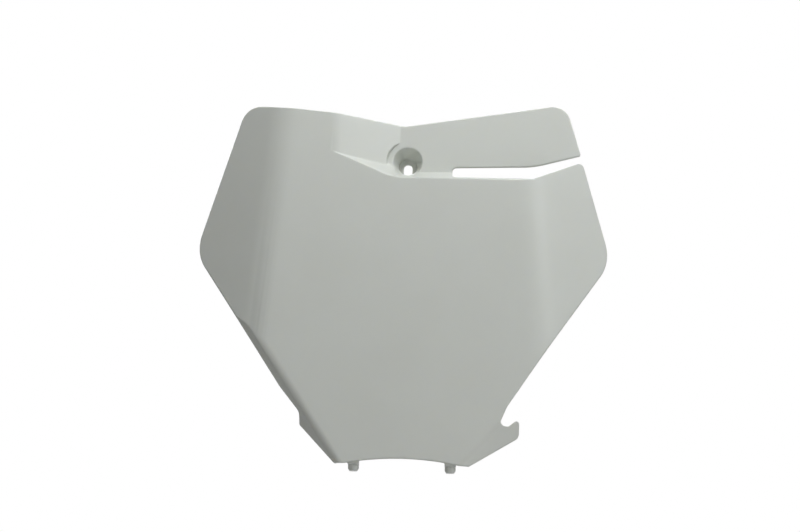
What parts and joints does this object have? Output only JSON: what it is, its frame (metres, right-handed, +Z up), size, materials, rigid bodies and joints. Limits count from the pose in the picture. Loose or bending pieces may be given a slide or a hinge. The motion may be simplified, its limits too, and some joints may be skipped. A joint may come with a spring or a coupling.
{
  "type": "motorcycle front number plate",
  "caption": "Moulded front number plate with side wings, a recessed screw well, a hose slot, a hose hook and two locating pegs.",
  "frame": {"origin": "middle of the seat for the fixing screw, at the bottom of the screw well", "axes": "+X to the right of a viewer in front of the plate, +Y to its back, +Z up along its flat face"},
  "size_m": [0.2847, 0.033, 0.2614],
  "materials": {
    "moulded_plastic": "glossy moulded light grey plastic"
  },
  "bodies": {
    "root": {"number_plate": "moulded_plastic"}
  },
  "joints": []
}
